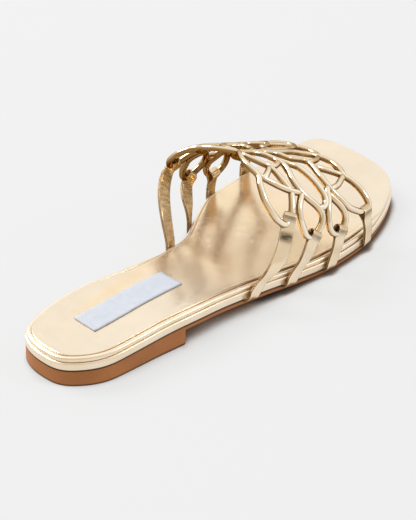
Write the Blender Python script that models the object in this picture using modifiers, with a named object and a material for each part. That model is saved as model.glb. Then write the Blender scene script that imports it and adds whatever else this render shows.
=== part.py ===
"""Women's flat slide sandal, the right shoe.

Toe towards +Y, the outer (lateral) side towards +X, standing on Z = 0.
Sizes below are millimetres; every mesh is scaled to metres as it is made.
"""
import bpy
import bmesh
from math import sin, cos, pi, radians
from mathutils import Matrix, Vector

# ---------------------------------------------------------------- sizes (mm)
MM = 0.001
GAP = 0.3                 # air left between neighbouring layers
LIFT_INSET = 1.2          # heel lift edge, in from the midsole edge
OUTSOLE_INSET = 1.0
RIM_INSET = 0.7           # footbed rim, in from the midsole edge
OUTSOLE_T = 2.8
MIDSOLE_T = 4.0
RIM_T = 2.6               # height of the rolled footbed rim
RIM_W = 2.6               # width of the rolled rim, seen from above
TRAY_T = 0.8              # floor of the footbed under the pad
PAD_T = 1.5
PAD_DISH = 1.2            # hollow of the pad under the heel
BREAST_Y = 61.0           # front face of the heel lift
STATIONS = 34             # steps along each long edge of a sole layer
LABEL = (5.4, 53.5)       # middle of the heel label
LABEL_SIZE = (14.4, 55.2)
LABEL_TURN = 6.3          # degrees, long side turned towards the outer side
LABEL_T = 0.5
CORD_R = 1.35             # radius of the round net cords
CORD_SIDES = 6
CORD_STEP = 7.2           # length of one straight piece of cord, less where it bends
BEND_WEIGHT = 4.0         # millimetres counted for each radian of turn
STRAP_W = 5.6
STRAP_T = 1.6
TONGUE_IN = 8.0           # how far a strap runs in under the midsole
TAIL_L = 10.5             # folded end of a strap
FOLD_R = 1.75             # strap middle to cord middle round the fold
NET_POWER = 2.15          # squareness of the vault the net lies on

# Outline of the midsole: y, inner (medial) x, outer (lateral) x.
OUTLINE = [
    (6, -16.2, 21.0), (15, -19.4, 26.4), (30, -21.3, 29.3), (45, -20.3, 31.4),
    (60, -17.0, 34.0), (75, -14.0, 36.2), (90, -12.6, 37.6), (105, -13.0, 39.3),
    (120, -16.4, 41.0), (132, -22.2, 42.8), (145, -29.1, 44.8), (158, -34.3, 46.7),
    (172, -35.9, 47.5), (187, -36.1, 46.8), (205, -35.0, 42.8), (220, -33.3, 37.4),
    (232, -31.2, 30.8),
]
HEEL_CAP = [(-7.5, 0.2), (2, -1.8), (12, -1.2)]
TOE_CAP = [(19.8, 240.2), (7, 243.7), (-8, 245.6), (-20.5, 245.2), (-27.6, 241.4)]

# Underside of the outsole: y, height. Heel breast, arch, flat ball, toe spring.
RISE = [
    (-3, 5.5), (20, 6.1), (40, 7.0), (60, 7.9), (75, 7.7), (95, 6.0), (115, 3.6),
    (135, 1.2), (152, 0.0), (197, 0.0), (215, 0.6), (232, 1.9), (247, 3.6),
]

# Vault the net lies on: y, middle x, inner half width, outer half width,
# crown height, springing height.
VAULT = [
    (100, 5.0, 39.0, 34.5, 68.0, 22), (115, 4.8, 39.8, 36.0, 66.5, 22),
    (130, 4.5, 40.5, 38.0, 62.5, 22), (145, 4.3, 40.0, 40.7, 56.5, 21),
    (160, 4.0, 37.8, 42.5, 50.5, 20), (175, 3.5, 35.5, 43.0, 44.5, 19),
    (190, 3.0, 34.5, 42.5, 38.0, 18), (205, 2.5, 33.5, 40.5, 31.0, 17),
]
INNER_SKEW = 2.0          # the inner half of the net sits this much further forward
INNER_SCALE = 0.96        # and reaches down a little less

# Half of the net, as (angle from the crown in degrees, y) along each cord.
NET = {
    "collar_loop": [
        (-1.4, 135.9), (7, 130.5), (14, 127.3), (21, 125.8), (30, 125.6), (38, 122),
        (47, 119.8), (56, 120.4), (63, 123.8), (66, 127.8), (63, 131.8), (58, 134.8),
        (52, 137.2), (46, 139.3)],
    "tie_1": [(30, 126), (35, 129), (41, 133.7), (45, 138.5), (48, 145)],
    "inner_1": [
        (1, 135.4), (7, 134), (14, 135.8), (20, 138.6), (22, 142.5), (20, 147.5), (17, 151)],
    "bridge_1": [(23, 139), (28.5, 133.7), (33, 128.4)],
    "inner_2": [(22, 139.3), (29, 139.3), (35, 138.8), (42, 138.8), (46, 139.3)],
    "loop_2": [
        (12, 151.5), (17, 151.5), (21, 151.8), (27, 150), (35, 146.7), (43, 145.2),
        (48, 145.8), (53, 147.4), (58, 150), (63, 152), (68, 152.8), (74, 151.5),
        (79, 148), (82, 143.5), (80, 139.8), (75, 138.2), (67, 137.4), (60, 138.6),
        (54, 141.5), (48, 145.5)],
    "spine_leaf": [
        (1, 144.5), (2.6, 147.6), (6, 150.3), (12, 151.6), (19, 156), (23, 159.5),
        (29, 160.3), (38, 160.5), (47, 160.2), (54, 159.6), (59, 158), (62, 155),
        (61, 151.3)],
    "loop_4": [
        (1, 153), (2.4, 157.5), (6, 162), (12, 163.4), (14.5, 168), (17, 172.5),
        (20, 173.6), (26, 172), (33, 169.5), (41, 167.8), (48, 167.3), (55, 168.5),
        (62, 170.5), (70, 173.5), (77, 178), (83, 182.5), (86, 186), (83, 189.3),
        (76, 190.2), (68, 190.4), (59, 190.2), (50, 189.6), (44, 188.7), (39, 187)],
    "front": [
        (2.4, 158.5), (2.6, 170), (3.4, 177), (5.5, 181.5), (7, 186), (10, 190),
        (15, 193.5), (21, 194.2), (28, 192.5), (34, 190), (39, 187)],
    "bridge_2": [(12, 191), (17, 184), (20, 174)],
    "bridge_3": [(24, 172.5), (28, 176), (31.5, 180), (35, 183.7), (39, 187)],
    "bridge_4": [(39, 187), (43, 181), (47, 174.8), (49, 167.6)],
    "loop_3": [
        (46, 166.8), (50, 164), (56, 161.6), (62, 158.8), (68, 156.8), (76, 155.6),
        (83, 156.3), (88, 159.3), (89, 162.5), (86, 166), (80, 169), (72, 169.3),
        (64, 167.2), (57, 164.8), (51, 163.5)],
}
SPINE = [(0, 133.8), (0, 141), (0, 149), (0, 158), (0, 163)]
FRONT_TIE = [(-12, 192), (-6, 195.3), (0, 196.4), (6, 195.5), (12, 192)]

# Straps: side (+1 outer), y at the sole edge, net angle and y where it grips the
# loop, outward bow half way up, how far it has leant forward at the rim.
STRAPS = [
    (+1, 102.5, 65, 130.3, 5.6, 3.0), (+1, 125.0, 82, 144.3, 3.4, 2.2),
    (+1, 154.0, 88.5, 162.5, 1.3, 0.8), (+1, 184.5, 85.5, 187.0, 0.6, 0.2),
    (-1, 110.0, 65, 130.0, 6.3, 0.0), (-1, 133.0, 82, 144.3, 1.6, 0.0),
    (-1, 165.0, 88.5, 162.8, 0.5, 0.0), (-1, 191.5, 85.5, 187.0, 0.4, 0.0),
]


# ---------------------------------------------------------------- numbers
def along(rows, column, key):
    """Column of a table at a key, on a smooth curve that never overshoots."""
    keys = [row[0] for row in rows]
    vals = [row[column] for row in rows]
    if key <= keys[0]:
        return vals[0]
    if key >= keys[-1]:
        return vals[-1]
    k = max(i for i in range(len(keys) - 1) if keys[i] <= key)
    secant = [(vals[i + 1] - vals[i]) / (keys[i + 1] - keys[i]) for i in range(len(keys) - 1)]

    def slope(i):
        if i == 0 or i == len(keys) - 1:
            return secant[min(i, len(secant) - 1)]
        a, b = secant[i - 1], secant[i]
        return 0.0 if a * b <= 0 else 2 * a * b / (a + b)

    h = keys[k + 1] - keys[k]
    t = (key - keys[k]) / h
    rise = (2 * t ** 3 - 3 * t ** 2 + 1) * vals[k] + (t ** 3 - 2 * t ** 2 + t) * h * slope(k)
    return rise + (3 * t ** 2 - 2 * t ** 3) * vals[k + 1] + (t ** 3 - t ** 2) * h * slope(k + 1)


def ground(y):
    """Height of the outsole underside."""
    return along(RISE, 1, y)


def curve_piece(p0, p1, p2, p3, steps):
    """Points from p1 up to p2 on a smooth curve through all four, evenly tempered."""
    t1 = (p1 - p0).length ** 0.5
    t2 = t1 + (p2 - p1).length ** 0.5
    t3 = t2 + (p3 - p2).length ** 0.5
    out = []
    for k in range(steps):
        t = t1 + (t2 - t1) * k / steps
        a1 = p0 * ((t1 - t) / t1) + p1 * (t / t1)
        a2 = p1 * ((t2 - t) / (t2 - t1)) + p2 * ((t - t1) / (t2 - t1))
        a3 = p2 * ((t3 - t) / (t3 - t2)) + p3 * ((t - t2) / (t3 - t2))
        b1 = a1 * ((t2 - t) / t2) + a2 * (t / t2)
        b2 = a2 * ((t3 - t) / (t3 - t1)) + a3 * ((t - t1) / (t3 - t1))
        out.append(b1 * ((t2 - t) / (t2 - t1)) + b2 * ((t - t1) / (t2 - t1)))
    return out


def closed_curve(points, steps):
    """Smooth closed curve through points."""
    pts = [Vector(p) for p in points]
    out = []
    for i in range(len(pts)):
        out += curve_piece(*(pts[(i + k) % len(pts)] for k in (-1, 0, 1, 2)), steps)
    return out


def open_curve(points, steps):
    """Smooth open curve through points."""
    pts = [Vector(p) for p in points]
    pts = [pts[0] * 2 - pts[1]] + pts + [pts[-1] * 2 - pts[-2]]
    out = []
    for i in range(1, len(pts) - 2):
        out += curve_piece(*pts[i - 1:i + 3], steps)
    out.append(pts[-2])
    return out


def even_points(path, step):
    """The same path in fewer straight pieces, shorter where it bends."""
    lengths = [0.0]
    for i in range(len(path) - 1):
        part = path[i + 1] - path[i]
        turn = part.angle(path[i] - path[i - 1], 0.0) if i else 0.0
        lengths.append(lengths[-1] + part.length + BEND_WEIGHT * turn)
    count = max(2, round(lengths[-1] / step))
    out = []
    i = 0
    for k in range(count + 1):
        want = lengths[-1] * k / count
        while i < len(path) - 2 and lengths[i + 1] < want:
            i += 1
        t = (want - lengths[i]) / (lengths[i + 1] - lengths[i])
        out.append(path[i].lerp(path[i + 1], t))
    return out


EDGE = closed_curve(
    HEEL_CAP + [(row[2], row[0]) for row in OUTLINE] + TOE_CAP
    + [(row[1], row[0]) for row in reversed(OUTLINE)], 10)


def inset_edge(amount):
    """Sole edge moved inwards in plan."""
    out = []
    for i, p in enumerate(EDGE):
        t = (EDGE[(i + 1) % len(EDGE)] - EDGE[i - 1]).normalized()
        out.append(p + Vector((-t.y, t.x)) * amount)
    return out


def rails(amount, stations=STATIONS, y_end=None):
    """(y, inner x, outer x) rows along the inset sole, closing to a point at each end."""
    edge = inset_edge(amount)
    heel = min(range(len(edge)), key=lambda i: edge[i].y)
    toe = max(range(len(edge)), key=lambda i: edge[i].y)
    loop = edge[heel:] + edge[:heel + 1]
    split = (toe - heel) % len(edge)
    outer = loop[:split + 1]
    inner = loop[split:][::-1]

    def cross(side, y):
        for a, b in zip(side, side[1:]):
            if a.y <= y <= b.y and b.y > a.y:
                return a.x + (b.x - a.x) * (y - a.y) / (b.y - a.y)
        return side[-1].x

    y0, y1 = edge[heel].y, edge[toe].y
    rows = []
    for k in range(stations + 1):
        if y_end is None:
            y = y0 + (y1 - y0) * (1 - cos(pi * k / stations)) / 2
        else:
            y = y0 + (y_end - y0) * (1 - cos(pi / 2 * k / stations))
        if k == 0:
            rows.append((y, edge[heel].x, edge[heel].x))
        elif k == stations and y_end is None:
            rows.append((y, edge[toe].x, edge[toe].x))
        else:
            rows.append((y, cross(inner, y), cross(outer, y)))
    return rows


def edge_at(side, y):
    """Sole edge point and outward plan direction at a y, on one side."""
    rows = [(row[0], row[1] if side < 0 else row[2]) for row in OUTLINE]
    near = min((p for p in EDGE if (p.x - 3.0) * side > 0), key=lambda p: abs(p.y - y))
    i = EDGE.index(near)
    t = (EDGE[(i + 1) % len(EDGE)] - EDGE[i - 1]).normalized()
    a = EDGE[i - 1] if (near.y - y) * (near.y - EDGE[i - 1].y) > 0 else EDGE[(i + 1) % len(EDGE)]
    f = (y - near.y) / (a.y - near.y) if abs(a.y - near.y) > 1e-6 else 0.0
    return near.lerp(a, f), Vector((t.y, -t.x))


def vault(angle, y):
    """Point of the net surface at an angle from the crown; negative is the inner side."""
    if angle < 0:
        y = y + INNER_SKEW * sin(radians(min(90, -angle)))
        angle = angle * INNER_SCALE
    mid, inner, outer, crown, spring = (along(VAULT, k, y) for k in range(1, 6))
    s, c = sin(radians(angle)), cos(radians(angle))
    r = (abs(s) ** NET_POWER + abs(c) ** NET_POWER) ** (-1 / NET_POWER)
    half = outer if angle > 0 else inner
    return Vector((mid + half * r * s, y, spring + (crown - spring) * r * c))


def vault_normal(angle, y):
    across = vault(angle + 1, y) - vault(angle - 1, y)
    onward = vault(angle, y + 1) - vault(angle, y - 1)
    return across.cross(onward).normalized()


# ---------------------------------------------------------------- building
def material(name, colour, rough, metal):
    mat = bpy.data.materials.new(name)
    mat.use_nodes = True
    shader = mat.node_tree.nodes["Principled BSDF"]
    shader.inputs["Base Color"].default_value = (*colour, 1.0)
    shader.inputs["Roughness"].default_value = rough
    shader.inputs["Metallic"].default_value = metal
    mat.diffuse_color = (*colour, 1.0)
    return mat


def make_object(name, bm, mat, collection):
    """Object from a bmesh drawn in millimetres."""
    bmesh.ops.remove_doubles(bm, verts=bm.verts, dist=0.002)
    bmesh.ops.recalc_face_normals(bm, faces=bm.faces)
    bmesh.ops.scale(bm, vec=(MM, MM, MM), verts=bm.verts)
    mesh = bpy.data.meshes.new(name)
    bm.to_mesh(mesh)
    bm.free()
    mesh.materials.append(mat)
    obj = bpy.data.objects.new(name, mesh)
    collection.objects.link(obj)
    return obj


def ring(bm, rows, height):
    """Loop of vertices up the inner edge and back down the outer edge."""
    inner, outer = [], []
    for y, a, b in rows:
        left = bm.verts.new((a, y, height(y)))
        inner.append(left)
        if b - a > 1e-4:
            outer.append(bm.verts.new((b, y, height(y))))
        else:
            outer.append(left)
    return inner, outer


def side_faces(bm, low, high):
    """Wall between two rings with matching stations."""
    def loop(pair):
        inner, outer = pair
        both = inner + outer[::-1]
        return [v for i, v in enumerate(both) if i == 0 or v is not both[i - 1]]
    a, b = loop(low), loop(high)
    if a[0] is a[-1]:
        a, b = a[:-1], b[:-1]
    for i in range(len(a)):
        j = (i + 1) % len(a)
        bm.faces.new((a[i], a[j], b[j], b[i]))


def cap(bm, pair, columns=1, height=None):
    """Close a ring with strips running across the sole."""
    inner, outer = pair
    grid = []
    for a, b in zip(inner, outer):
        row = [a]
        for k in range(1, columns):
            if a is b:
                row.append(a)
            else:
                p = a.co.lerp(b.co, k / columns)
                row.append(bm.verts.new((p.x, p.y, height(p.x, p.y))))
        row.append(b)
        grid.append(row)
    for r0, r1 in zip(grid, grid[1:]):
        for k in range(columns):
            corners = []
            for v in (r0[k], r0[k + 1], r1[k + 1], r1[k]):
                if v not in corners:
                    corners.append(v)
            if len(corners) > 2:
                bm.faces.new(corners)


def slab(name, profile, base, mat, collection, y_end=None, stations=STATIONS):
    """Sole layer: profile rows are (inset, height above base) from the bottom up."""
    bm = bmesh.new()
    rings = [ring(bm, rails(inset, stations, y_end), base(dz)) for inset, dz in profile]
    for low, high in zip(rings, rings[1:]):
        side_faces(bm, low, high)
    cap(bm, rings[0])
    cap(bm, rings[-1])
    return make_object(name, bm, mat, collection)


def above_ground(dz):
    return lambda y: ground(y) + dz


def plain_mesh(obj):
    """Closed mesh object in place of a curve, or of a mesh with modifiers."""
    graph = bpy.context.evaluated_depsgraph_get()
    mesh = bpy.data.meshes.new_from_object(obj.evaluated_get(graph))
    bm = bmesh.new()
    bm.from_mesh(mesh)
    bmesh.ops.remove_doubles(bm, verts=bm.verts, dist=0.000002)
    bmesh.ops.recalc_face_normals(bm, faces=bm.faces)
    bm.to_mesh(mesh)
    bm.free()
    name = obj.name
    solid = bpy.data.objects.new(name, mesh)
    solid.matrix_world = obj.matrix_world
    for collection in obj.users_collection:
        collection.objects.link(solid)
    bpy.data.objects.remove(obj)
    solid.name = name
    return solid


def tube(name, points, radius, mat, collection):
    """Round cord along a path, its ends drawn in so they hide in the next cord."""
    curve = bpy.data.curves.new(name, "CURVE")
    curve.dimensions = "3D"
    curve.bevel_depth = radius * MM
    curve.bevel_resolution = CORD_SIDES // 2 - 2
    curve.use_fill_caps = True
    spline = curve.splines.new("POLY")
    spline.points.add(len(points) - 1)
    for spot, p in zip(spline.points, points):
        spot.co = (*(p * MM), 1.0)
        spot.radius = 1.0
    spline.points[0].radius = 0.62
    spline.points[-1].radius = 0.62
    curve.materials.append(mat)
    obj = bpy.data.objects.new(name, curve)
    collection.objects.link(obj)
    bpy.context.view_layer.update()
    return plain_mesh(obj)


def ribbon(name, points, widths, width, thick, mat, collection):
    """Flat strap along a path: a strip given thickness and slightly rounded edges."""
    bm = bmesh.new()
    pairs = []
    for p, w in zip(points, widths):
        half = w.normalized() * width / 2
        pairs.append((bm.verts.new((p - half) * MM), bm.verts.new((p + half) * MM)))
    for (a, b), (c, d) in zip(pairs, pairs[1:]):
        bm.faces.new((a, b, d, c))
    mesh = bpy.data.meshes.new(name)
    bm.to_mesh(mesh)
    bm.free()
    mesh.materials.append(mat)
    obj = bpy.data.objects.new(name, mesh)
    collection.objects.link(obj)
    shell = obj.modifiers.new("thickness", "SOLIDIFY")
    shell.thickness = thick * MM
    shell.offset = 0.0
    shell.use_even_offset = True
    soften = obj.modifiers.new("soft_edges", "BEVEL")
    soften.width = 0.3 * MM
    soften.segments = 1
    soften.limit_method = "ANGLE"
    soften.angle_limit = radians(50)
    bpy.context.view_layer.update()
    return plain_mesh(obj)


def combine(target, tool, operation, solver="EXACT"):
    """Boolean one object into another and drop the tool."""
    mod = target.modifiers.new(operation.lower(), "BOOLEAN")
    mod.operation = operation
    mod.solver = solver
    mod.object = tool
    bpy.context.view_layer.objects.active = target
    bpy.ops.object.modifier_apply(modifier=mod.name)
    bpy.data.objects.remove(tool)


def drop_pockets(obj):
    """Remove the pinhead pockets a union leaves where three cords meet."""
    bm = bmesh.new()
    bm.from_mesh(obj.data)
    left = set(bm.verts)
    pieces = []
    while left:
        queue = [left.pop()]
        piece = list(queue)
        while queue:
            for edge in queue.pop().link_edges:
                for vert in edge.verts:
                    if vert in left:
                        left.remove(vert)
                        queue.append(vert)
                        piece.append(vert)
        pieces.append(piece)
    pieces.sort(key=len)
    for piece in pieces[:-1]:
        bmesh.ops.delete(bm, geom=piece, context="VERTS")
    bm.to_mesh(obj.data)
    bm.free()


def mirrored(path):
    return [(-angle, y) for angle, y in path]


def cord(name, path, mat, collection):
    """Net cord from (angle, y) points."""
    path = [vault(a, y) for a, y in open_curve(path, 12)]
    return tube(name, even_points(path, CORD_STEP), CORD_R, mat, collection)


def strap_frame(side, y_base):
    """Edge point, outward, toeward and upward directions lying on the sole slope."""
    point, out = edge_at(side, y_base)
    slope = (ground(point.y + 2) - ground(point.y - 2)) / 4
    outward = Vector((out.x, out.y, slope * out.y)).normalized()
    toeward = Vector((-out.y * side, out.x * side, slope * out.x * side)).normalized()
    up = outward.cross(toeward).normalized()
    if up.z < 0:
        up = -up
    return point, outward, toeward, up


def level_frames(points, toeward, turn_from, turn_over):
    """Cross and face directions: along the sole edge at first, then level with the shoe."""
    widths, ups = [], []
    for i in range(len(points)):
        t = (points[min(i + 1, len(points) - 1)] - points[max(i - 1, 0)]).normalized()
        share = min(1.0, max(0.0, (i - turn_from) / turn_over))
        w = toeward.lerp(Vector((0, 1, 0)), share)
        widths.append((w - t * w.dot(t)).normalized())
        ups.append(widths[-1].cross(t))
    return widths, ups


def strap_parts(index, mat, collection):
    """Main run of a strap with its tongue and fold, and the tail laid down outside it."""
    side, y_base, angle, y_top, bow, lean = STRAPS[index]
    point, outward, toeward, up = strap_frame(side, y_base)
    seat = ground(point.y) + OUTSOLE_T + GAP + 0.1 + STRAP_T / 2
    start = Vector((point.x, point.y, seat))
    reach = GAP + STRAP_T / 2 + 0.35
    top = vault(angle * side, y_top)
    face = vault_normal(angle * side, y_top)

    points = [start - outward * TONGUE_IN, start - outward * TONGUE_IN * 0.5,
              start - outward * 0.6]
    for turn in (0.35, 0.75):
        spot = start + outward * (-0.6 + sin(pi / 2 * turn) * (reach + 0.6))
        points.append(spot + up * (1 - cos(pi / 2 * turn)) * 1.7)
    foot = start + outward * reach
    rim = ground(point.y) + OUTSOLE_T + MIDSOLE_T + RIM_T + 1.8
    high = Vector((foot.x, foot.y, rim)) + toeward * lean + outward * lean * 0.1
    mid = high.lerp(top, 0.5) + outward * bow
    run = open_curve([foot + Vector((0, 0, 2.2)), high, mid, top - face * FOLD_R], 4)
    points += run[:-1]
    climb = (top - mid).normalized()
    climb = face.cross(climb).cross(face).normalized()
    around = [top + (climb * sin(radians(a)) - face * cos(radians(a))) * FOLD_R
              for a in (0, 40, 80)]
    points += around
    widths, ups = level_frames(points, toeward, 4, 4)
    main = ribbon(f"strap_{index}", points, widths, STRAP_W, STRAP_T, mat, collection)

    tail = [top + (climb * sin(radians(a)) - face * cos(radians(a))) * FOLD_R
            for a in (70, 105, 140, 172)]
    down = open_curve([foot + Vector((0, 0, 2.2)), high, mid, top - face * FOLD_R], 12)[::-1]
    sign = 1 if ups[-4].dot(face) > 0 else -1
    length = 0.0
    for a, b, c in zip(down, down[1:], down[2:]):
        before = length
        length += (b - a).length
        for want in (TAIL_L * 0.45, TAIL_L * 0.75, TAIL_L):
            if before < want <= length:
                near = min(range(len(points)), key=lambda i: (points[i] - b).length_squared)
                close = min(1.0, length / 5.0)
                apart = 2 * FOLD_R * (1 - close) + 1.4 * close
                tail.append(b + ups[near] * sign * apart)
    tail_widths = level_frames(tail, Vector((0, 1, 0)), 0, 1)[0]
    flap = ribbon(f"tail_{index}", tail, tail_widths, STRAP_W - 0.3, 1.5, mat, collection)
    return main, flap


def tongue_cutter(index, mat, collection):
    """Recess for one tongue, cut up into the midsole from below."""
    side, y_base = STRAPS[index][:2]
    point, outward, toeward, up = strap_frame(side, y_base)
    low, high = -1.0, STRAP_T + 0.8
    back, front = -(TONGUE_IN + 0.4), 3.0
    middle = Vector((point.x, point.y, ground(point.y) + OUTSOLE_T + GAP))
    middle += outward * (back + front) / 2 + up * (low + high) / 2
    turn = Matrix((outward, toeward, up)).transposed().to_4x4()
    size = Matrix.Diagonal((front - back, STRAP_W + 1.2, high - low, 1.0))
    bm = bmesh.new()
    bmesh.ops.create_cube(bm, size=1.0, matrix=Matrix.Translation(middle) @ turn @ size)
    return make_object(f"recess_cut_{index}", bm, mat, collection)


# ---------------------------------------------------------------- scene
for obj in list(bpy.data.objects):
    bpy.data.objects.remove(obj)
scene = bpy.context.scene
shoe = bpy.data.collections.new("slide_sandal")
cutters = bpy.data.collections.new("cutters")
scene.collection.children.link(shoe)
scene.collection.children.link(cutters)

gold = material("gold_leather", (0.80, 0.66, 0.46), 0.38, 0.7)
gold_pad = material("gold_sock_leather", (0.78, 0.63, 0.43), 0.45, 0.6)
tan = material("tan_sole", (0.36, 0.17, 0.08), 0.6, 0.0)
heel_tan = material("tan_heel", (0.33, 0.16, 0.08), 0.6, 0.0)
white = material("white_label", (0.86, 0.86, 0.92), 0.6, 0.0)
cut_mat = material("cutter", (0.5, 0.5, 0.5), 0.5, 0.0)

# Heel lift: flat on the floor, its top follows the outsole.
bm = bmesh.new()
lift_rings = []
for inset, height in ((LIFT_INSET + 0.5, lambda y: 0.0), (LIFT_INSET, lambda y: 0.5),
                      (LIFT_INSET, lambda y: ground(y) - GAP)):
    lift_rings.append(ring(bm, rails(inset, 16, BREAST_Y), height))
for low, high in zip(lift_rings, lift_rings[1:]):
    side_faces(bm, low, high)
cap(bm, lift_rings[0])
cap(bm, lift_rings[-1])
heel_lift = make_object("heel_lift", bm, heel_tan, shoe)

# Outsole, midsole and footbed follow the same rise, one above the other.
outsole = slab("outsole", [(OUTSOLE_INSET + 0.6, 0.0), (OUTSOLE_INSET, 0.5), (OUTSOLE_INSET, OUTSOLE_T)],
               above_ground, tan, shoe)
MID_Z = OUTSOLE_T + GAP
midsole = slab("midsole", [(0.5, MID_Z), (0.0, MID_Z + 0.5), (0.0, MID_Z + MIDSOLE_T - 0.6),
                           (0.5, MID_Z + MIDSOLE_T)], above_ground, gold, shoe)
for number in range(len(STRAPS)):
    cutter = tongue_cutter(number, cut_mat, cutters)
    combine(midsole, cutter, "DIFFERENCE")

BED_Z = MID_Z + MIDSOLE_T + GAP
bed = [(RIM_INSET + 0.4, BED_Z), (RIM_INSET, BED_Z + 0.5), (RIM_INSET, BED_Z + RIM_T - 0.9),
       (RIM_INSET + 0.5, BED_Z + RIM_T - 0.2), (RIM_INSET + 1.3, BED_Z + RIM_T),
       (RIM_INSET + RIM_W - 0.4, BED_Z + RIM_T - 0.3), (RIM_INSET + RIM_W, BED_Z + RIM_T - 0.8),
       (RIM_INSET + RIM_W, BED_Z + TRAY_T)]
footbed = slab("footbed", bed, above_ground, gold, shoe)

# Padded insole in the tray, hollowed a little under the heel.
PAD_Z = BED_Z + TRAY_T + GAP


def pad_top(x, y):
    centre = 3.0 + 1.0 * sin(pi * min(1, max(0, y / 240)))
    hollow = PAD_DISH * max(0.0, 1 - ((y - 32) / 62) ** 2) * max(0.0, 1 - ((x - centre) / 24) ** 2)
    crown = 0.35 * max(0.0, 1 - ((y - 165) / 60) ** 2) * max(0.0, 1 - ((x - 5) / 34) ** 2)
    return ground(y) + PAD_Z + PAD_T - hollow - crown * 0.6


PAD_INSET = RIM_INSET + RIM_W + 0.35
bm = bmesh.new()
pad_low = ring(bm, rails(PAD_INSET), above_ground(PAD_Z))
pad_mid = ring(bm, rails(PAD_INSET), above_ground(PAD_Z + PAD_T - 0.5))
pad_high = ring(bm, rails(PAD_INSET + 0.7), above_ground(PAD_Z + PAD_T))
side_faces(bm, pad_low, pad_mid)
side_faces(bm, pad_mid, pad_high)
cap(bm, pad_low)
cap(bm, pad_high, 8, pad_top)
insole = make_object("insole", bm, gold_pad, shoe)

# Bare label glued on the heel of the pad, following its hollow.
bm = bmesh.new()
bmesh.ops.create_grid(bm, x_segments=3, y_segments=9, size=0.5)
bmesh.ops.transform(bm, verts=bm.verts, matrix=(
    Matrix.Translation((*LABEL, 0)) @ Matrix.Rotation(radians(-LABEL_TURN), 4, "Z")
    @ Matrix.Diagonal((*LABEL_SIZE, 1, 1))))
for vert in bm.verts:
    vert.co.z = pad_top(vert.co.x, vert.co.y) + GAP + 0.1
under = bmesh.ops.extrude_face_region(bm, geom=bm.faces[:])
for vert in (v for v in under["geom"] if isinstance(v, bmesh.types.BMVert)):
    vert.co.z += LABEL_T
heel_label = make_object("heel_label", bm, white, shoe)

# Upper: net cords joined where they cross, and the straps that hold the net.
# The exact solver drops the whole net at the last strap, so these joins use the manifold one.
upper = cord("upper", SPINE, gold, shoe)
for name, path in NET.items():
    for label, points in ((name, path), (name + "_inner", mirrored(path))):
        combine(upper, cord(label, points, gold, cutters), "UNION", "MANIFOLD")
combine(upper, cord("front_tie", FRONT_TIE, gold, cutters), "UNION", "MANIFOLD")
for number in range(len(STRAPS)):
    for piece in strap_parts(number, gold, cutters):
        combine(upper, piece, "UNION", "MANIFOLD")
drop_pockets(upper)

# Stand the shoe over the origin, the middle of its bounding box.
everything = [heel_lift, outsole, midsole, footbed, insole, heel_label, upper]
corners = [v.co for obj in everything for v in obj.data.vertices]
shift = Vector((-(min(c.x for c in corners) + max(c.x for c in corners)) / 2,
                -(min(c.y for c in corners) + max(c.y for c in corners)) / 2, 0.0))
for obj in everything:
    for vert in obj.data.vertices:
        vert.co += shift
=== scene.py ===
# %% [markdown]
# # A slide sandal with a net of leather cords, built over its CAD frame
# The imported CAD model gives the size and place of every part: heel lift, outsole, midsole,
# footbed, insole, label and upper. Each of them is built again here with the rounding, grain
# and folds of the real shoe, and rides on the one body that the shoe has.

# %% Load the fixed frame
import bpy
import bmesh
from math import sin, cos, pi, radians
from mathutils import Matrix, Vector, noise


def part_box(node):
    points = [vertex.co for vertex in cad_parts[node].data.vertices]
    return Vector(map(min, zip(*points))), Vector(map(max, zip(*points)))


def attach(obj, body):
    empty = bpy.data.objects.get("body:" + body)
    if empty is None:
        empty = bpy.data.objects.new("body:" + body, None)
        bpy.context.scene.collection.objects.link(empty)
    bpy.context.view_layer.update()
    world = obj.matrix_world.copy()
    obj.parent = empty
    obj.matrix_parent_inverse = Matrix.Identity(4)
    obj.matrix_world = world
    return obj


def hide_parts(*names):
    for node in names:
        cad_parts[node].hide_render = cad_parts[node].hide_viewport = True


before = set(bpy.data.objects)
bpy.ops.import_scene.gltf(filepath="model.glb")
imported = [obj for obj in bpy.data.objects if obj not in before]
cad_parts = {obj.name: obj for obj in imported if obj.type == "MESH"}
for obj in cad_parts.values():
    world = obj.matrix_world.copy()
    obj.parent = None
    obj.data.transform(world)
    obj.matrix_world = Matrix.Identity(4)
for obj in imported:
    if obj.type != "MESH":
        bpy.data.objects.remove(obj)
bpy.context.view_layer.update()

scene = bpy.context.scene

# %% [markdown]
# ## The camera
# A shoe is shown from its outer side, a little behind the middle and about a third of the way
# up, so that the net, the footbed and the edge of the sole all show. The camera is placed by
# its angles round the shoe, with a long lens, because a short one would swell the heel.

# %% Place the camera
VIEW_TURN = radians(38.26)      # round the shoe, from straight behind the heel
VIEW_RISE = radians(32.15)
VIEW_ROLL = radians(1.6)
VIEW_DISTANCE = 1.0195
VIEW_AIM = Vector((-0.00358, -0.00581, 0.00758))
VIEW_LENS = 144.4               # millimetres, on a sensor 36 across

back = Vector((sin(VIEW_TURN) * cos(VIEW_RISE), -cos(VIEW_TURN) * cos(VIEW_RISE), sin(VIEW_RISE)))
camera = bpy.data.objects.new("camera", bpy.data.cameras.new("camera"))
camera.data.lens = VIEW_LENS
camera.data.sensor_width = 36
camera.location = VIEW_AIM + back * VIEW_DISTANCE
turn = (-back).to_track_quat("-Z", "Y").to_matrix() @ Matrix.Rotation(VIEW_ROLL, 3, "Z")
camera.rotation_euler = turn.to_euler()
scene.collection.objects.link(camera)
scene.camera = camera
print("camera at", [round(c, 3) for c in camera.location])

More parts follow.
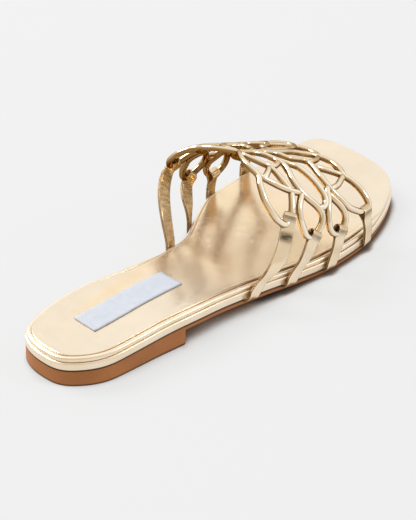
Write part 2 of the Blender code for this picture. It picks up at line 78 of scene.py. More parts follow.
# %% [markdown]
# ## Floor and light
# The shoe stands on a sheet of pale studio paper. The paper is given a glow, like paper lit from
# below, so broad shadows stay faint. Into that glow a tight brown shade is painted where the sole
# touches the paper or hangs close above it, darker the more of the sky over each spot is shut out.
# The touching shade is painted only from the shank forward, so round the heel, which stands square
# on the paper, only the shade under what hangs above it is painted.
# Foil leather shows what is round it, so the light matters as much as the colour. A big soft
# lamp at the left, a little behind the shoe, gives the highlights along the cords, a small one
# at the far right lights the toe, and the room is darker and warmer on the near side.

# %% Lay the floor
PAPER, PAPER_GLOW = (0.096, 0.0978, 0.1003), 0.72
# The two shades below are painted into the glow of the paper, by how much of the sky over it is shut out.
TOUCH_REACH = 0.0046            # metres; the shade round what touches the paper
TOUCH_SHADE = [(0.50, (0.09, 0.03, 0.0)), (0.64, (0.13, 0.065, 0.025)), (0.74, (0.32, 0.25, 0.20)),
               (0.85, (0.80, 0.77, 0.74)), (0.95, (1, 1, 1))]
UNDER_REACH = 0.020             # metres; the shade under what hangs above the paper
UNDER_SHADE = [(0.16, (0.06, 0.02, 0.0)), (0.34, (0.13, 0.065, 0.03)), (0.46, (0.6, 0.55, 0.51)),
               (0.57, (1, 1, 1))]
HEEL_ENDS, SHANK_STARTS = -0.066, -0.045    # metres along the shoe from its middle


def node_material(name):
    """New material with its shader, ready for nodes."""
    mat = bpy.data.materials.new(name)
    mat.use_nodes = True
    tree = mat.node_tree
    return mat, tree, tree.nodes["Principled BSDF"]


def ramp(tree, factor, stops):
    """Colour ramp fed by a factor, with its stops in place of the two that it comes with."""
    node = tree.nodes.new("ShaderNodeValToRGB")
    elements = node.color_ramp.elements
    for place, colour in stops:
        elements.new(place).color = (*colour, 1)
    elements.remove(elements[0])
    elements.remove(elements[-1])
    tree.links.new(factor, node.inputs["Fac"])
    return node.outputs["Color"]


def occlusion_shade(tree, reach, stops):
    """Painted shade for the glow of the paper: darker the more of the sky over it is shut out within a
    reach.
    """
    near = tree.nodes.new("ShaderNodeAmbientOcclusion")
    near.samples = 8
    near.inputs["Distance"].default_value = reach
    return ramp(tree, near.outputs["AO"], stops)


paper, tree, shader = node_material("studio_paper")
spot = tree.nodes.new("ShaderNodeTexCoord")
along_floor = tree.nodes.new("ShaderNodeSeparateXYZ")
tree.links.new(spot.outputs["Object"], along_floor.inputs[0])
# Painted shade mask: 0 round the heel, 1 from the shank forward, where the touching shade is painted into
# the glow as well.
ahead = tree.nodes.new("ShaderNodeMapRange")
ahead.inputs["From Min"].default_value = HEEL_ENDS
ahead.inputs["From Max"].default_value = SHANK_STARTS
tree.links.new(along_floor.outputs["Y"], ahead.inputs["Value"])
painted_floor_shade = tree.nodes.new("ShaderNodeMix")
painted_floor_shade.data_type, painted_floor_shade.blend_type = "RGBA", "MULTIPLY"
tree.links.new(ahead.outputs["Result"], painted_floor_shade.inputs["Factor"])
tree.links.new(occlusion_shade(tree, UNDER_REACH, UNDER_SHADE), painted_floor_shade.inputs["A"])
tree.links.new(occlusion_shade(tree, TOUCH_REACH, TOUCH_SHADE), painted_floor_shade.inputs["B"])
tree.links.new(painted_floor_shade.outputs["Result"], shader.inputs["Emission Color"])
shader.inputs["Emission Strength"].default_value = PAPER_GLOW
shader.inputs["Base Color"].default_value = (*PAPER, 1)
shader.inputs["Roughness"].default_value = 0.9
shader.inputs["Specular IOR Level"].default_value = 0.1
bm = bmesh.new()
bmesh.ops.create_grid(bm, x_segments=1, y_segments=1, size=6.0)
mesh = bpy.data.meshes.new("floor")
bm.to_mesh(mesh)
bm.free()
mesh.materials.append(paper)
floor = bpy.data.objects.new("floor", mesh)
scene.collection.objects.link(floor)
print("floor laid,", round(floor.dimensions.x), "m across")

# %% Hang the lamps
def soft_lamp(name, spot, aim, size, power):
    """Square lamp of a size in metres and a power in watts at a spot, turned to face the aim."""
    lamp = bpy.data.lights.new(name, "AREA")
    lamp.size = size
    lamp.energy = power
    obj = bpy.data.objects.new(name, lamp)
    obj.location = spot
    obj.rotation_euler = (Vector(aim) - Vector(spot)).to_track_quat("-Z", "Y").to_euler()
    scene.collection.objects.link(obj)


soft_lamp("key", (-1.35, -0.3, 1.45), (0, 0, 0), 1.0, 36)
soft_lamp("side", (1.9, 1.2, 1.5), (0, 0, 0.03), 0.5, 8)
ROOM = [(0.0, (0.66, 0.58, 0.48)), (0.28, (0.93, 0.90, 0.85)), (0.5, (1, 1, 1))]    # near side, far side
BRIGHT_SIDE = Vector((-0.35, 0.75, 0.55))
world = bpy.data.worlds.new("room")
scene.world = world
world.use_nodes = True
tree = world.node_tree
way = tree.nodes.new("ShaderNodeTexCoord")
facing = tree.nodes.new("ShaderNodeVectorMath")
facing.operation = "DOT_PRODUCT"
facing.inputs[1].default_value = BRIGHT_SIDE.normalized()
tree.links.new(way.outputs["Generated"], facing.inputs[0])
walls = ramp(tree, facing.outputs["Value"], ROOM)
walls.node.color_ramp.interpolation = "B_SPLINE"
tree.links.new(walls, tree.nodes["Background"].inputs["Color"])
tree.nodes["Background"].inputs["Strength"].default_value = 0.99
scene.view_settings.view_transform = "Standard"
print("lamps:", [lamp.name for lamp in bpy.data.lights])

# %% [markdown]
# ## Lines of the shoe
# A last maker draws a shoe as a few measured lines: the outline of the sole, the rise of its
# underside, and the vault that the foot gives the upper. The tables below are in millimetres
# from the back of the heel, and smooth curves are drawn through them.

# %% Tables of sizes, in millimetres
OUTLINE = [  # along the shoe, inner side, outer side
    (6, -16.2, 21.0), (15, -19.4, 26.4), (30, -21.3, 29.3), (45, -20.3, 31.4),
    (60, -17.0, 34.0), (75, -14.0, 36.2), (90, -12.6, 37.6), (105, -13.0, 39.3),
    (120, -16.4, 41.0), (132, -22.2, 42.8), (145, -29.1, 44.8), (158, -34.3, 46.7),
    (172, -35.9, 47.5), (187, -36.1, 46.8), (205, -35.0, 42.8), (220, -33.3, 37.4),
    (232, -31.2, 30.8),
]
HEEL_CAP = [(-7.5, 0.2), (2, -1.8), (12, -1.2)]
TOE_CAP = [(19.8, 240.2), (7, 243.7), (-8, 245.6), (-20.5, 245.2), (-27.6, 241.4)]
RISE = [  # along the shoe, height of the underside
    (-3, 5.5), (20, 6.1), (40, 7.0), (60, 7.9), (75, 7.7), (95, 6.0), (115, 3.6),
    (135, 1.2), (152, 0.0), (197, 0.0), (215, 0.6), (232, 1.9), (247, 3.6),
]
VAULT = [  # along the shoe, middle, inner and outer half width, crown, springing
    (100, 5.0, 39.0, 34.5, 68.0, 22), (115, 4.8, 39.8, 36.0, 66.5, 22),
    (130, 4.5, 40.5, 38.0, 62.5, 22), (145, 4.3, 40.0, 40.7, 56.5, 21),
    (160, 4.0, 37.8, 42.5, 50.5, 20), (175, 3.5, 35.5, 43.0, 44.5, 19),
    (190, 3.0, 34.5, 42.5, 38.0, 18), (205, 2.5, 33.5, 40.5, 31.0, 17),
]
NET_POWER = 2.15                # 2 would make the vault an ellipse; more makes it squarer
INNER_SKEW, INNER_SCALE = 2.0, 0.96     # the inner half runs further forward and less far down
STATIONS = 90                   # rows of points along each layer of the sole


# %% Smooth lines through the tables
def share(value, start, end):
    """How far a value is from the start to the end, from 0 to 1."""
    return min(1.0, max(0.0, (value - start) / (end - start)))


def eased(part):
    """The same part of the way, with a soft start and end."""
    return part * part * (3 - 2 * part)


def hump(value, middle, half, power=2.0, flat=1.0):
    """1 at the middle, 0 from a half width away. A high power flattens its top, and flat its foot."""
    return max(0.0, 1 - (abs(value - middle) / half) ** power) ** flat


def along(rows, column, key):
    """Column of a table at a key, on a smooth curve that never overshoots."""
    keys = [row[0] for row in rows]
    vals = [row[column] for row in rows]
    if key <= keys[0]:
        return vals[0]
    if key >= keys[-1]:
        return vals[-1]
    k = max(i for i in range(len(keys) - 1) if keys[i] <= key)
    secant = [(vals[i + 1] - vals[i]) / (keys[i + 1] - keys[i]) for i in range(len(keys) - 1)]

    def slope(i):
        if i == 0 or i == len(keys) - 1:
            return secant[min(i, len(secant) - 1)]
        a, b = secant[i - 1], secant[i]
        return 0.0 if a * b <= 0 else 2 * a * b / (a + b)

    h = keys[k + 1] - keys[k]
    t = (key - keys[k]) / h
    rise = (2 * t ** 3 - 3 * t ** 2 + 1) * vals[k] + (t ** 3 - 2 * t ** 2 + t) * h * slope(k)
    return rise + (3 * t ** 2 - 2 * t ** 3) * vals[k + 1] + (t ** 3 - t ** 2) * h * slope(k + 1)


def ground(y):
    """Height of the outsole underside."""
    return along(RISE, 1, y)


def curve_piece(p0, p1, p2, p3, steps):
    """Points from p1 up to p2 on a smooth curve through all four."""
    t1 = (p1 - p0).length ** 0.5
    t2 = t1 + (p2 - p1).length ** 0.5
    t3 = t2 + (p3 - p2).length ** 0.5
    out = []
    for k in range(steps):
        t = t1 + (t2 - t1) * k / steps
        a1 = p0 * ((t1 - t) / t1) + p1 * (t / t1)
        a2 = p1 * ((t2 - t) / (t2 - t1)) + p2 * ((t - t1) / (t2 - t1))
        a3 = p2 * ((t3 - t) / (t3 - t2)) + p3 * ((t - t2) / (t3 - t2))
        b1 = a1 * ((t2 - t) / t2) + a2 * (t / t2)
        b2 = a2 * ((t3 - t) / (t3 - t1)) + a3 * ((t - t1) / (t3 - t1))
        out.append(b1 * ((t2 - t) / (t2 - t1)) + b2 * ((t - t1) / (t2 - t1)))
    return out


def closed_curve(points, steps):
    """Smooth closed curve through points."""
    pts = [Vector(p) for p in points]
    out = []
    for i in range(len(pts)):
        out += curve_piece(*(pts[(i + k) % len(pts)] for k in (-1, 0, 1, 2)), steps)
    return out


def open_curve(points, steps):
    """Smooth open curve through points."""
    pts = [Vector(p) for p in points]
    pts = [pts[0] * 2 - pts[1]] + pts + [pts[-1] * 2 - pts[-2]]
    out = []
    for i in range(1, len(pts) - 2):
        out += curve_piece(*pts[i - 1:i + 3], steps)
    out.append(pts[-2])
    return out


def even(path, step):
    """The same path in equal steps."""
    reach = [0.0]
    for a, b in zip(path, path[1:]):
        reach.append(reach[-1] + (b - a).length)
    count = max(2, round(reach[-1] / step))
    out, i = [], 0
    for k in range(count + 1):
        want = reach[-1] * k / count
        while i < len(path) - 2 and reach[i + 1] < want:
            i += 1
        out.append(path[i].lerp(path[i + 1], (want - reach[i]) / (reach[i + 1] - reach[i])))
    return out


EDGE = closed_curve(HEEL_CAP + [(row[2], row[0]) for row in OUTLINE] + TOE_CAP
                    + [(row[1], row[0]) for row in reversed(OUTLINE)], 10)
EDGE = even(EDGE + EDGE[:1], 1.5)[:-1]
for _ in range(60):             # ease the small corners of the outline, and let it out again
    for ease in (0.6, -0.62):
        EDGE = [p.lerp(a.lerp(b, 0.5), ease)
                for a, p, b in zip(EDGE[-1:] + EDGE[:-1], EDGE, EDGE[1:] + EDGE[:1])]
mid_low, mid_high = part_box("midsole")       # in metres, so times 1000 here
SHIFT = Vector((
    (mid_low.x + mid_high.x) * 500 - (min(p.x for p in EDGE) + max(p.x for p in EDGE)) / 2,
    mid_low.y * 1000 - min(p.y for p in EDGE), 0.0))
print("sole", round(max(p.y for p in EDGE) - min(p.y for p in EDGE), 1), "mm long; lines move by",
      [round(c, 2) for c in SHIFT])


# %% Inset outlines and the vault
def inset_edge(amount):
    """Sole edge moved inwards in plan."""
    out = []
    for i, p in enumerate(EDGE):
        t = (EDGE[(i + 1) % len(EDGE)] - EDGE[i - 1]).normalized()
        out.append(p + Vector((-t.y, t.x)) * amount)
    return out


def rails(amount, y_end=None, stations=STATIONS):
    """(y, inner x, outer x) rows along the inset sole, closing to a point at each end."""
    edge = inset_edge(amount)
    heel = min(range(len(edge)), key=lambda i: edge[i].y)
    toe = max(range(len(edge)), key=lambda i: edge[i].y)
    loop = edge[heel:] + edge[:heel + 1]
    split = (toe - heel) % len(edge)
    outer, inner = loop[:split + 1], loop[split:][::-1]

    def cross(side, y):
        for a, b in zip(side, side[1:]):
            if a.y <= y <= b.y and b.y > a.y:
                return a.x + (b.x - a.x) * (y - a.y) / (b.y - a.y)
        return side[-1].x

    y0, y1 = edge[heel].y, edge[toe].y
    rows = [(y0, edge[heel].x, edge[heel].x)]
    for k in range(1, stations + 1):
        if y_end is None:
            y = y0 + (y1 - y0) * (1 - cos(pi * k / stations)) / 2
        else:
            y = y0 + (y_end - y0) * (1 - cos(pi / 2 * k / stations))
        rows.append((y, cross(inner, y), cross(outer, y)))
    if y_end is None:
        rows[-1] = (y1, edge[toe].x, edge[toe].x)
    return rows


def vault(angle, y):
    """Point of the net surface at an angle from the crown; negative is the inner side."""
    if angle < 0:
        y = y + INNER_SKEW * sin(radians(min(90, -angle)))
        angle = angle * INNER_SCALE
    mid, inner, outer, crown, spring = (along(VAULT, k, y) for k in range(1, 6))
    s, c = sin(radians(angle)), cos(radians(angle))
    r = (abs(s) ** NET_POWER + abs(c) ** NET_POWER) ** (-1 / NET_POWER)
    half = outer if angle > 0 else inner
    return Vector((mid + half * r * s, y, spring + (crown - spring) * r * c))


def vault_normal(angle, y):
    """Direction straight out of the net surface."""
    across = vault(angle + 1, y) - vault(angle - 1, y)
    onward = vault(angle, y + 1) - vault(angle, y - 1)
    return across.cross(onward).normalized()


# %% [markdown]
# ## Foil leather, stained edges and label cloth
# Foil leather is thin metal film pressed on a hide, so it is a metal with the pores of a hide:
# a soft gloss that changes from place to place, and a fine grain in the surface. The colour
# moves between pale champagne and a browner gold where the film is thinner. On a cord a
# highlight is painted pale along the crown and shade is painted brown on the flanks. On a strap
# the cut edges are brown, and shade is painted into the creases and on the layer on the foot's
# side, which is a deeper gold. The stained edges of the sole are a plain rough brown with fine
# lines along them, left by the sanding, and dye and painted shade darken their arrises.

# %% Build the finishes
CORD_GIRTH = 0.0085             # the UV map's U runs from 0 to this once round a cord or a strap


def mapped(tree, kind, scale=(1, 1, 1)):
    """Object or UV coordinates, stretched."""
    coords = tree.nodes.new("ShaderNodeTexCoord")
    mapping = tree.nodes.new("ShaderNodeMapping")
    mapping.inputs["Scale"].default_value = scale
    tree.links.new(coords.outputs[kind], mapping.inputs["Vector"])
    return mapping.outputs["Vector"]


def speckle(tree, vector, scale, detail=3.0, rough=0.5):
    """Noise value on a vector."""
    node = tree.nodes.new("ShaderNodeTexNoise")
    node.inputs["Scale"].default_value = scale
    node.inputs["Detail"].default_value = detail
    node.inputs["Roughness"].default_value = rough
    tree.links.new(vector, node.inputs["Vector"])
    return node.outputs["Fac"]


def spread(tree, value, low, high):
    """Value moved from 0.15 to 0.85 on to low to high."""
    node = tree.nodes.new("ShaderNodeMapRange")
    node.inputs["From Min"].default_value = 0.15
    node.inputs["From Max"].default_value = 0.85
    node.inputs["To Min"].default_value = low
    node.inputs["To Max"].default_value = high
    tree.links.new(value, node.inputs["Value"])
    return node.outputs["Result"]


def dent(tree, height, depth, under=None):
    """Bump of a height, over another normal if there is one."""
    node = tree.nodes.new("ShaderNodeBump")
    node.inputs["Distance"].default_value = depth
    tree.links.new(height, node.inputs["Height"])
    if under is not None:
        tree.links.new(under, node.inputs["Normal"])
    return node.outputs["Normal"]


def reckoned(tree, operation, value, amount):
    """A value and an amount, which is a number or another value, put through one operation."""
    node = tree.nodes.new("ShaderNodeMath")
    node.operation = operation
    tree.links.new(value, node.inputs[0])
    if isinstance(amount, (int, float)):
        node.inputs[1].default_value = amount
    else:
        tree.links.new(amount, node.inputs[1])
    return node.outputs["Value"]


def girth(tree):
    """How far round a cord a spot is, from its crown, 0, to its underside, 1.

    Across a strap it runs from the one cut edge, 0, to the other, 1, on both faces."""
    coords = tree.nodes.new("ShaderNodeUVMap")
    split = tree.nodes.new("ShaderNodeSeparateXYZ")
    tree.links.new(coords.outputs["UV"], split.inputs["Vector"])
    value = split.outputs["X"]
    for operation, amount in (("SUBTRACT", CORD_GIRTH / 2), ("ABSOLUTE", 0), ("DIVIDE", CORD_GIRTH / 2)):
        value = reckoned(tree, operation, value, amount)
    return value


def painted(tree, name):
    """Value painted on the points of a piece."""
    node = tree.nodes.new("ShaderNodeAttribute")
    node.attribute_name = name
    return node.outputs["Fac"]


def times(colour, amount):
    """Colour made darker or brighter."""
    return tuple(min(1.0, c * amount) for c in colour)


def blended(tree, factor, one, two):
    """Colour moved from one to another by a factor."""
    node = tree.nodes.new("ShaderNodeMix")
    node.data_type = "RGBA"
    tree.links.new(factor, node.inputs["Factor"])
    tree.links.new(one, node.inputs["A"])
    tree.links.new(two, node.inputs["B"])
    return node.outputs["Result"]


def cord_highlight_and_shade(tree, cloud, colour, painted_highlight, rolled):
    """Highlight painted along the crown of a cord in the palest film colour, shade painted on its flanks
    and underside.
    """
    around = girth(tree)
    # Painted highlight along the crown of the cord, painted shade on its flanks and underside.
    crown = ramp(tree, around, [(0.07, (1, 1, 1)), (0.25, (0, 0, 0))])
    crown_highlight = ramp(tree, cloud, [(0.3, painted_highlight), (0.7, times(painted_highlight, 1.06))])
    flank_shade_mask = ramp(tree, around, [(0.30, (0, 0, 0)), (0.50, (1, 1, 1))])
    painted_flank_shade = ramp(tree, cloud, [(0.3, times(rolled, 0.8)), (0.7, rolled)])
    return blended(tree, flank_shade_mask, blended(tree, crown, colour, crown_highlight), painted_flank_shade)


def strap_colour(tree, cloud, colour, inside):
    """Brown cut edges, shade painted in a deep gold on the inner layer, and painted shade in the creases
    outside.

    The painted shade value is above 0 on the inner layer and at the eye, and below 0 in a crease."""
    around = girth(tree)
    cut_edge = ramp(tree, around, [(0.08, (1, 1, 1)), (0.17, (0, 0, 0)),
                                   (0.83, (0, 0, 0)), (0.92, (1, 1, 1))])
    bare = ramp(tree, cloud, [(0.3, (0.20, 0.12, 0.05)), (0.7, (0.32, 0.20, 0.09))])
    colour = blended(tree, cut_edge, colour, bare)
    painted_strap_shade = painted(tree, "painted_strap_shade")
    wrinkles = speckle(tree, mapped(tree, "UV", (700, 420, 1)), 1, 3)
    # Painted shade: the inner layer in a darker gold, darkest at the eye, and the creases of the outer
    # face in a greyish brown.
    deep = ramp(tree, wrinkles, [(0.3, times(inside, 0.55)), (0.62, inside)])
    crease_shade = ramp(tree, wrinkles, [(0.3, (0.10, 0.075, 0.045)), (0.7, (0.34, 0.27, 0.18))])
    deep = blended(tree, reckoned(tree, "LESS_THAN", painted_strap_shade, 0), deep, crease_shade)
    face = ramp(tree, around, [(0.10, (0, 0, 0)), (0.24, (1, 1, 1)),
                               (0.76, (1, 1, 1)), (0.90, (0, 0, 0))])
    patchy = ramp(tree, wrinkles, [(0.36, (1, 1, 1)), (0.62, (0.75, 0.75, 0.75))])
    amount = reckoned(tree, "MULTIPLY", face, reckoned(tree, "ABSOLUTE", painted_strap_shade, 0))
    return blended(tree, reckoned(tree, "MULTIPLY", patchy, amount), colour, deep)


def foil_leather(name, film, gloss, metal, grain, folds, coat=0.0, edge=(1, 1, 1),
                 seam_dye_and_shade=(0.42, 0.26, 0.12), rolled=None, inside=None, highlight_tone=None):
    """Metal film on leather.

    film is its deep, middle and palest colour, gloss its least and most roughness, and grain the
    depth of the hide's grain in metres. folds are the closeness, detail and depth of the fine
    folds. edge colours what it mirrors at a flat angle, and the seam colour is the dye and painted
    shade laid where the dye and shade share is painted. rolled is the colour of the shade painted
    on a cord's flanks, inside that of the shade painted on a strap's inner layer, and the highlight
    tone that of the highlight painted where the highlight share is painted."""
    mat, tree, shader = node_material(name)
    place = mapped(tree, "Object")
    cloud = speckle(tree, place, 70, 2)
    colour = ramp(tree, cloud, list(zip((0.14, 0.5, 0.86), film)))
    if rolled:
        colour = cord_highlight_and_shade(tree, cloud, colour, film[2], rolled)
    dye_and_shade = tree.nodes.new("ShaderNodeRGB")
    dye_and_shade.outputs["Color"].default_value = (*seam_dye_and_shade, 1)
    colour = blended(tree, painted(tree, "painted_dye_and_shade"), colour, dye_and_shade.outputs["Color"])
    # Painted highlight: a paler film colour where the highlight share is painted.
    if highlight_tone:
        highlight_ramp = ramp(tree, cloud, [(0.15, times(highlight_tone, 0.92)), (0.85, times(highlight_tone, 1.03))])
        colour = blended(tree, painted(tree, "painted_highlight"), colour, highlight_ramp)
    if inside:
        colour = strap_colour(tree, cloud, colour, inside)
    tree.links.new(colour, shader.inputs["Base Color"])
    shader.inputs["Metallic"].default_value = metal
    shader.inputs["Specular Tint"].default_value = (*edge, 1)
    shader.inputs["Coat Weight"].default_value = coat
    shader.inputs["Coat Roughness"].default_value = gloss[0]
    tree.links.new(spread(tree, speckle(tree, place, 240, 2), *gloss), shader.inputs["Roughness"])
    normal = dent(tree, speckle(tree, place, 1500, 2), grain)
    normal = dent(tree, speckle(tree, place, *folds[:2]), folds[2], normal)
    tree.links.new(normal, shader.inputs["Normal"])
    return mat


gold = foil_leather("gold_foil_leather",
                    [(0.85, 0.69, 0.48), (0.92, 0.78, 0.59), (0.95, 0.84, 0.68)],
                    (0.24, 0.36), 0.9, 0.000008, (240, 2, 0.00003), coat=0.3)
# The cord's flanks get painted shade in the rolled colour, and its crown a painted highlight in the palest
# film colour.
gold_cord = foil_leather("gold_cord_leather",
                         [(0.72, 0.54, 0.32), (0.82, 0.65, 0.42), (0.96, 0.88, 0.73)],
                         (0.10, 0.17), 0.97, 0.000006, (420, 3, 0.00004),
                         edge=(0.40, 0.25, 0.11), rolled=(0.34, 0.20, 0.075))
# The inside colour is the shade painted on the inner layer of each strap.
gold_strap = foil_leather("gold_strap_leather",
                          [(0.88, 0.71, 0.48), (0.95, 0.81, 0.61), (0.97, 0.87, 0.71)],
                          (0.20, 0.32), 0.72, 0.000012, (300, 2, 0.00005),
                          edge=(0.45, 0.30, 0.15), inside=(0.52, 0.285, 0.05))
# The last colour is the highlight painted on the sock at the heel and the toe.
gold_sock = foil_leather("gold_sock_leather",
                         [(0.92, 0.71, 0.44), (0.97, 0.76, 0.49), (0.98, 0.79, 0.53)],
                         (0.19, 0.29), 0.9, 0.000002, (150, 2, 0.00011), coat=0.5,
                         seam_dye_and_shade=(0.27, 0.13, 0.035), highlight_tone=(0.89, 0.76, 0.585))


def stained_edge(name, dark, light, lines):
    """Sanded and stained leather edge: fine lines along it, and dye pooled at its arrises, painted dark
    enough to stand for shade there as well.
    """
    mat, tree, shader = node_material(name)
    strokes = speckle(tree, mapped(tree, "Object", (60, 60, lines)), 14, 3, 0.6)
    patches = speckle(tree, mapped(tree, "Object"), 60, 2)
    patches = ramp(tree, patches, [(0.35, (0, 0, 0)), (0.65, (1, 1, 1))])
    colour = ramp(tree, strokes, [(0.25, dark), (0.75, light)])
    rich = ramp(tree, strokes, [(0.25, times(dark, 0.86)), (0.75, times(light, 0.86))])
    colour = blended(tree, patches, colour, rich)
    pooled_dye_and_shade = ramp(tree, strokes, [(0.2, (0.05, 0.018, 0.008)), (0.8, (0.10, 0.036, 0.014))])
    colour = blended(tree, painted(tree, "painted_dye_and_shade"), colour, pooled_dye_and_shade)
    tree.links.new(colour, shader.inputs["Base Color"])
    tree.links.new(spread(tree, strokes, 0.42, 0.6), shader.inputs["Roughness"])
    shader.inputs["Specular IOR Level"].default_value = 0.3
    tree.links.new(dent(tree, strokes, 0.00003), shader.inputs["Normal"])
    return mat


def woven_label(name, dark, light, threads):
    """Smooth woven ribbon; the higher threads is, the closer its threads lie."""
    mat, tree, shader = node_material(name)
    place = mapped(tree, "Object")
    weave = tree.nodes.new("ShaderNodeTexWave")
    weave.inputs["Scale"].default_value = threads
    tree.links.new(place, weave.inputs["Vector"])
    colour = ramp(tree, speckle(tree, place, 300), [(0.3, dark), (0.7, light)])
    tree.links.new(colour, shader.inputs["Base Color"])
    tree.links.new(dent(tree, weave.outputs["Fac"], 0.00002), shader.inputs["Normal"])
    shader.inputs["Roughness"].default_value = 0.6
    return mat


tan = stained_edge("stained_leather_edge", (0.34, 0.120, 0.031), (0.46, 0.182, 0.053), 420)
label_cloth = woven_label("label_cloth", (0.44, 0.47, 0.53), (0.49, 0.52, 0.585), 900)
print("materials:", [m.name for m in bpy.data.materials])


# %% [markdown]
# ## Rings and layers
# A sole layer is cut along the outline and then shaved to a profile. In the same way a circle
# of points is laid on the outline here, and its open rim is extruded from ring to ring, each a
# little higher or further in. The last ring closes on the middle line of the sole, so no face
# has to stretch from side to side.

# %% Extrude rings
MM = 0.001                      # metres in a millimetre
SAME_SPOT = 0.003               # millimetres; points closer than this are one point


def finish(name, bm, mat, node):
    """Object standing at the origin from a bmesh drawn in millimetres."""
    bmesh.ops.remove_doubles(bm, verts=bm.verts, dist=SAME_SPOT)
    bmesh.ops.recalc_face_normals(bm, faces=bm.faces)
    bmesh.ops.transform(bm, verts=bm.verts, matrix=Matrix.Scale(MM, 4) @ Matrix.Translation(SHIFT))
    for face in bm.faces:
        face.smooth = True
    mesh = bpy.data.meshes.new(name)
    bm.to_mesh(mesh)
    bm.free()
    mesh.materials.append(mat)
    obj = bpy.data.objects.new(name, mesh)
    scene.collection.objects.link(obj)
    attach(obj, "root")
    if node:
        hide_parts(node)
    print(f"{name}: {len(mesh.polygons)} faces")
    return obj


def ring_spots(rows, height, drawn_in=0.0):
    """Points up the outer side and back down the inner side, drawn in by a share to the middle."""
    outer = [(b + (a - b) * drawn_in / 2, y) for y, a, b in rows]
    end = len(rows) - 1 if rows[-1][2] - rows[-1][1] < 1e-6 else len(rows)
    inner = [(a + (b - a) * drawn_in / 2, y) for y, a, b in rows[1:end]]
    return [Vector((x, y, height(x, y))) for x, y in outer + inner[::-1]]


def first_ring(bm, spots):
    """Circle of vertices laid on the spots."""
    made = bmesh.ops.create_circle(bm, segments=len(spots), radius=1.0)["verts"]
    for vert, spot in zip(made, spots):
        vert.co = spot
    return made


def next_ring(bm, ring, spots):
    """Open rim extruded on to new spots."""
    rim = [bm.edges.get((a, b)) for a, b in zip(ring, ring[1:] + ring[:1])]
    made = set(bmesh.ops.extrude_edge_only(bm, edges=rim)["geom"])
    out = []
    for vert, spot in zip(ring, spots):
        twin = next(e.other_vert(vert) for e in vert.link_edges if e.other_vert(vert) in made)
        twin.co = spot
        out.append(twin)
    return out


def layer(profile, base, y_end=None):
    """Sole layer from (inset, height over base, share of dye and painted shade) rows, closed on the
    middle line below and above."""
    bm = bmesh.new()
    painted_dye_and_shade = bm.verts.layers.float.new("painted_dye_and_shade")
    profile = [(*row, 0.0)[:3] for row in profile]
    first, last = profile[0], profile[-1]
    steps = [(rails(first[0], y_end), first[1], drawn_in, first[2]) for drawn_in in (1, 0.6, 0.3)]
    steps += [(rails(inset, y_end), dz, 0, dye_and_shade) for inset, dz, dye_and_shade in profile]
    steps += [(rails(last[0], y_end), last[1], drawn_in, last[2]) for drawn_in in (0.3, 0.6, 1)]
    ring = None
    for rows, dz, drawn_in, dye_and_shade in steps:
        spots = ring_spots(rows, lambda x, y: base(y, dz), drawn_in)
        ring = next_ring(bm, ring, spots) if ring else first_ring(bm, spots)
        for vert in ring:
            vert[painted_dye_and_shade] = dye_and_shade
    return bm


def over_ground(y, dz):
    """Height of a layer that follows the rise of the shoe."""
    return ground(y) + dz


# %% [markdown]
# ## Heel lift and outsole
# The low heel is a block of stacked leather under the outsole, both with their edges sanded,
# stained and waxed in one go, which hides the joint. So the block's face reaches up over the
# edge of the outsole here. The block stands flat on the floor, and its breast is cut straight.

# %% Heel lift
BREAST_Y = 61.0                 # where the block ends under the shank
HEEL_FACE = 2.75                # how far its face reaches up over the edge of the outsole


def lift_height(y, up):
    """Between the floor, at 0, and the top of the block's face, at 1."""
    return (ground(y) + HEEL_FACE) * up


# The dye share darkens the arrises of the heel block and the outsole: edge dye, and painted shade along
# the floor and under the band.
bm = layer([(1.5, 0.0, 1), (0.9, 0.006, 1), (0.6, 0.025, 1), (0.42, 0.055, 1), (0.36, 0.085, 0.9),
            (0.34, 0.12, 0.2), (0.33, 0.16), (0.33, 0.5), (0.33, 0.90), (0.37, 0.93, 0.3),
            (0.5, 0.96, 0.9), (1.2, 1.0, 1)], lift_height, BREAST_Y)
finish("heel_stack", bm, tan, "heel_lift")

# %% Outsole
bm = layer([(2.0, 0.0, 1), (1.2, 0.04, 1), (0.75, 0.12, 1), (0.5, 0.3, 1), (0.4, 0.55, 0.3),
            (0.36, 0.8), (0.36, 1.3), (0.4, 1.7), (0.5, 2.0, 0.6), (0.7, 2.3, 1), (1.0, 2.6, 1),
            (1.5, 2.8, 1), (2.0, 2.95, 1)], over_ground)
finish("leather_outsole", bm, tan, "outsole")

# %% [markdown]
# ## Midsole band and rolled rim
# Two boards are each wrapped in foil leather and lie one on the other, so two rounded gold
# bands run round the sole with a dark line between them. The upper one is rolled over its
# edge, and the sock sits inside it. Cement and edge dye gather in both joints, and the dye
# share of each ring paints that, together with painted shade in the groove inside the rim.

# %% Midsole
def band_top(y, dz):
    """Height of the midsole, whose top edge is lower round the ball and the toe."""
    return ground(y) + dz - (0.22 * share(y, 150, 170) if dz > 6.4 else 0.0)


bm = layer([(1.8, 2.95), (1.2, 2.98), (0.6, 3.02), (0.2, 3.15), (0.02, 3.45), (0.0, 3.9), (0.0, 5.2),
            (0.0, 6.1), (0.1, 6.5), (0.34, 6.78), (0.7, 6.9), (0.95, 6.92, 0.4), (1.25, 6.93, 1),
            (2.6, 6.94, 1)], band_top)
finish("midsole_wrap", bm, gold, "midsole")

# %% Rolled rim
def groove_dye_and_shade(spot):
    """How far the dye and painted shade reach out of the groove: less on the inner side, more beside the
    heel.
    """
    return max(0.25, share(spot.x, -16, 12)) * (0.9 + 1.3 * share(spot.y, 112, 82))


